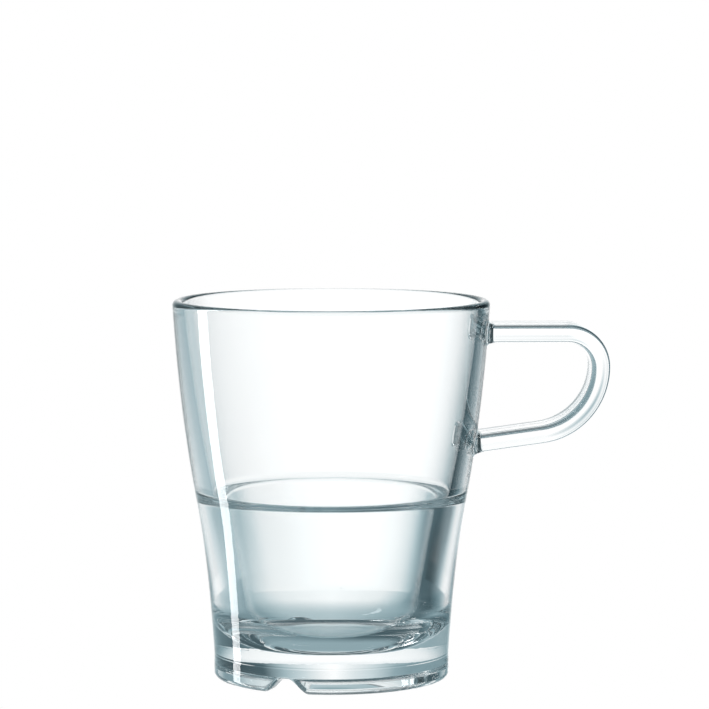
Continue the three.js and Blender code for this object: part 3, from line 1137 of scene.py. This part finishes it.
def seat_rings(bar):
    """Rings of points from the strap's end to the wall, and then inwards over the wall."""
    start, direction = bar
    across = Vector((0, 1, 0))
    up = across.cross(direction)
    face_run = run_to_wall(start, direction) - SEAT_LENGTH

    def place(spot, run):
        return start + up * spot.x + across * spot.y + direction * run

    rings = []
    for k in range(SEAT_STEPS + 1):
        t = math.sin(math.pi / 2 * k / SEAT_STEPS)
        flare = SEAT_FLARE * (1 - math.sqrt(1 - t**2))
        ring = []
        for spot in seat_spots(flare):
            wall_run = run_to_wall(place(spot, 0), direction)
            ring.append(place(spot, face_run + (wall_run - face_run) * t))
        rings.append(ring)
    for share in WALL_FACE_RINGS:
        near = [spot * share for spot in seat_spots(SEAT_FLARE)]
        rings.append([place(spot, run_to_wall(place(spot, 0), direction)) for spot in near])
    return rings


def skin_rings(shape, rings):
    """Faces between the rings and over both ends. Faces inside the joint get the second material."""
    reach = shape.verts.layers.float.new(SEAT_REACH)
    loops = [[shape.verts.new(point) for point in ring] for ring in rings]
    for k in range(SEAT_STEPS + 1):
        for vert in loops[k]:
            vert[reach] = math.sin(math.pi / 2 * k / SEAT_STEPS)
    count = len(loops[0])
    for k in range(len(loops) - 1):
        for i in range(count):
            n = (i + 1) % count
            face = shape.faces.new((loops[k][i], loops[k][n], loops[k + 1][n], loops[k + 1][i]))
            face.material_index = 0 if k < SEAT_STEPS else 1
    for loop in (loops[0], loops[-1]):
        face = shape.faces.new(loop)
        face.material_index = 1
    for face in shape.faces:
        face.smooth = True


def make_seat(name, bar):
    """One seat as a closed mesh, from its own bar of the strap."""
    shape = bmesh.new()
    skin_rings(shape, seat_rings(bar))
    mesh = bpy.data.meshes.new(name)
    shape.to_mesh(mesh)
    shape.free()
    mesh.materials.append(seat_glass)
    mesh.materials.append(fused_glass)
    seat = bpy.data.objects.new(name, mesh)
    bpy.context.scene.collection.objects.link(seat)
    face_outwards(seat)
    return seat


upper_seat = make_seat("upper_seat", upper_bar)
lower_seat = make_seat("lower_seat", lower_bar)

# %% [markdown]
# Strap, seats and wall touch, and light must not notice it.
# So the faces that lie against each other get the see-through material: the strap's end caps, both ends
# of each seat, and the faces of the wall that a seat covers.
# Edges sharper than 60 degrees, such as those of the caps, are then shaded as edges and not smoothed over.

# %% Fuse
OUTER_SKIN = RIM_WALL / 3
SHARP_ANGLE = math.radians(60)


def fuse_body():
    """Marks the faces of the body's wall that lie under a seat."""
    body.data.materials.append(fused_glass)
    across = Vector((0, 1, 0))
    counts = []
    for start, direction in (upper_bar, lower_bar):
        up = across.cross(direction)
        half_up = STRAP_THICKNESS / 2 + SEAT_FLARE
        half_across = STRAP_DEPTH / 2 + SEAT_FLARE
        corner = STRAP_CORNER + SEAT_FLARE
        count = 0
        for face in body.data.polygons:
            centre = face.center
            wall = math.hypot(centre.x, centre.y)
            if centre.x < 0 or wall < outer_radius(centre.z) - OUTER_SKIN:
                continue
            off = centre - start
            beyond_up = max(abs(off.dot(up)) - half_up + corner, 0)
            beyond_across = max(abs(off.y) - half_across + corner, 0)
            if math.hypot(beyond_up, beyond_across) < corner:
                face.material_index = 1
                count += 1
        counts.append(count)
    print("faces fused under the seats:", counts)


fuse_body()
handle.data.materials.append(fused_glass)
for face in handle.data.polygons:
    if len(face.vertices) > 4:
        face.material_index = 1
for piece in (handle, upper_seat, lower_seat):
    piece.data.set_sharp_from_angle(angle=SHARP_ANGLE)

# %% [markdown]
# Each finished piece stands in for one node of the solid model. It rides on the model's only body, so
# whoever uses the part can move it.

# %% Ride
for piece, node, slot in (
    (body, "cup_body", "pressed_glass"),
    (handle, "handle", "handle_glass"),
    (upper_seat, "upper_handle_seat", "seat_glass"),
    (lower_seat, "lower_handle_seat", "seat_glass"),
):
    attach(piece, "root")
    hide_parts(node)
    print(piece.name, "rides for", node)
